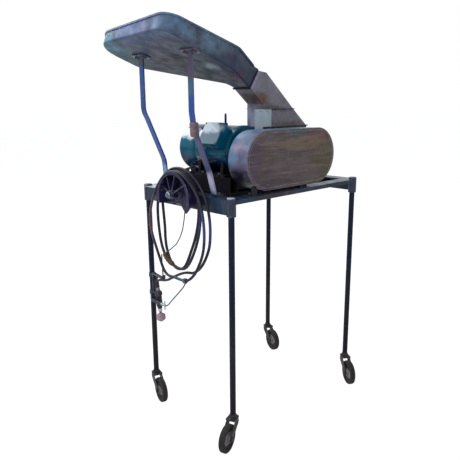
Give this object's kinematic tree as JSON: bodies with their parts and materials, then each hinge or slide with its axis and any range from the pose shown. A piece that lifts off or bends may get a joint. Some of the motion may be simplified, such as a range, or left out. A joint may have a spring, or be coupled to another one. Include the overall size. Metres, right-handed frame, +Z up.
{
  "type": "flexible shaft machine",
  "caption": "Motor-driven flexible shaft machine on a castered stand, with belt guard, chute, inclined open tray, and a hank of shaft ending in a handpiece with a mounted stone.",
  "frame": {"origin": "on the floor, at the middle of the box round the machine, its free cords left out", "axes": "+Z up; +X along the front rail to the right, seen from the belt guard's side; +Y from the belt guard towards the motor's fan"},
  "size_m": [0.9108, 0.5678, 1.4415],
  "materials": {
    "stand_paint": "dull dark green-grey paint, chipped and rusty",
    "caster_fork_steel": "dirty black paint",
    "caster_tyre": "worn matt rubber",
    "motor_paint": "gloss teal enamel",
    "copper_winding": "varnished copper winding on laminated steel",
    "shaft_steel": "ground steel",
    "bearing_steel": "polished steel",
    "fan_plastic": "moulded plastic",
    "gland_plastic": "moulded plastic",
    "eye_steel": "painted forged steel",
    "pulley_iron": "machined cast iron",
    "belt_rubber": "ribbed rubber and cloth",
    "guard_paint": "faded dark paint with brown and green stains",
    "fastener_steel": "dull zinc, partly rusty",
    "casing_iron": "dusty cast iron",
    "duct_paint": "weathered grey paint",
    "bracket_paint": "pale grey-green paint",
    "tray_paint": "blue-grey hammered paint, stained",
    "hanger_paint": "dark worn paint",
    "hanger_steel": "bright nut and stud",
    "sheath_rubber": "black sheath, dusty",
    "sleeve_leather": "worn brown leather",
    "grip_plastic": "dark grip",
    "ferrule_steel": "dull steel",
    "clip_steel": "worn paint, pale on the arm",
    "stone_abrasive": "pink abrasive, dusty",
    "tether_cord": "grey cord",
    "key_steel": "greenish painted steel"
  },
  "bodies": {
    "stand": {"long_rails": "stand_paint", "short_rails": "stand_paint", "corner_sockets": "stand_paint", "legs": "stand_paint", "cross_bearers": "stand_paint", "pedestal_rails": "stand_paint", "motor_shell": "motor_paint", "motor_front_shield": "motor_paint", "motor_rear_shield": "motor_paint", "motor_fan_cowl": "motor_paint", "motor_foot_base": "motor_paint", "motor_stator": "copper_winding", "motor_bearings": "bearing_steel", "terminal_box": "motor_paint", "terminal_lid": "motor_paint", "cable_gland": "gland_plastic", "lifting_eye": "eye_steel", "v_belt": "belt_rubber", "guard_front_plate": "guard_paint", "guard_band": "guard_paint", "guard_back_plate": "guard_paint", "guard_screws": "fastener_steel", "spindle_bearings": "casing_iron", "rotor_casing": "casing_iron", "coupling_housing": "casing_iron", "hex_bolts": "fastener_steel", "chute_base": "duct_paint", "chute_upper": "duct_paint", "chute_bracket": "bracket_paint", "feed_tray": "tray_paint", "tray_struts": "stand_paint", "hanger_saddle": "hanger_paint", "hanger_bolt": "hanger_steel", "flex_shaft_feed": "sheath_rubber", "flex_shaft_coil": "sheath_rubber", "flex_shaft_end": "sheath_rubber", "sheath_sleeve": "sleeve_leather", "handpiece_body": "grip_plastic", "handpiece_ferrule": "ferrule_steel", "handpiece_bearings": "bearing_steel", "handpiece_clip": "clip_steel", "key_tether": "tether_cord", "chuck_key": "key_steel"},
    "fork_front_left": {"caster_fork_front_left": "caster_fork_steel"},
    "wheel_front_left": {"caster_wheel_front_left": "caster_tyre"},
    "fork_front_right": {"caster_fork_front_right": "caster_fork_steel"},
    "wheel_front_right": {"caster_wheel_front_right": "caster_tyre"},
    "fork_back_left": {"caster_fork_back_left": "caster_fork_steel"},
    "wheel_back_left": {"caster_wheel_back_left": "caster_tyre"},
    "fork_back_right": {"caster_fork_back_right": "caster_fork_steel"},
    "wheel_back_right": {"caster_wheel_back_right": "caster_tyre"},
    "motor_rotor": {"motor_rotor": "shaft_steel", "motor_fan": "fan_plastic", "motor_pulley": "pulley_iron"},
    "spindle": {"spindle": "shaft_steel", "driven_pulley": "pulley_iron", "rotor": "casing_iron"},
    "handpiece_spindle": {"handpiece_spindle": "shaft_steel", "chuck": "bearing_steel", "mounted_stone": "stone_abrasive"}
  },
  "joints": [
    {"name": "swivel_front_left", "type": "hinge", "parent": "stand", "child": "fork_front_left", "pos_m": [-0.24592, -0.19711, 0.136], "axis": [0, 0, 1], "continuous": true},
    {"name": "roll_front_left", "type": "hinge", "parent": "fork_front_left", "child": "wheel_front_left", "pos_m": [-0.29102, -0.21353, 0.05], "axis": [0.342, -0.9397, 0], "continuous": true},
    {"name": "swivel_front_right", "type": "hinge", "parent": "stand", "child": "fork_front_right", "pos_m": [0.43408, -0.19711, 0.136], "axis": [0, 0, 1], "continuous": true},
    {"name": "roll_front_right", "type": "hinge", "parent": "fork_front_right", "child": "wheel_front_right", "pos_m": [0.40865, -0.23781, 0.05], "axis": [0.848, -0.5299, 0], "continuous": true},
    {"name": "swivel_back_left", "type": "hinge", "parent": "stand", "child": "fork_back_left", "pos_m": [-0.24592, 0.26089, 0.136], "axis": [0, 0, 1], "continuous": true},
    {"name": "roll_back_left", "type": "hinge", "parent": "fork_back_left", "child": "wheel_back_left", "pos_m": [-0.25834, 0.21453, 0.05], "axis": [0.9659, -0.2588, 0], "continuous": true},
    {"name": "swivel_back_right", "type": "hinge", "parent": "stand", "child": "fork_back_right", "pos_m": [0.43408, 0.26089, 0.136], "axis": [0, 0, 1], "continuous": true},
    {"name": "roll_back_right", "type": "hinge", "parent": "fork_back_right", "child": "wheel_back_right", "pos_m": [0.42005, 0.21499, 0.05], "axis": [0.9563, -0.2924, 0], "continuous": true},
    {"name": "motor_spin", "type": "hinge", "parent": "stand", "child": "motor_rotor", "pos_m": [-0.06592, 0.00289, 1.026], "axis": [0, 1, 0], "continuous": true},
    {"name": "spindle_spin", "type": "hinge", "parent": "stand", "child": "spindle", "pos_m": [0.19408, -0.04711, 1.026], "axis": [0, 1, 0], "continuous": true},
    {"name": "chuck_spin", "type": "hinge", "parent": "stand", "child": "handpiece_spindle", "pos_m": [-0.24592, 0.22789, 0.485], "axis": [0, -0.1219, -0.9925], "continuous": true}
  ],
  "couplings": [
    {"joint": "spindle_spin", "follows": "motor_spin", "ratio": 1.25},
    {"joint": "chuck_spin", "follows": "motor_spin", "ratio": 1.25}
  ]
}
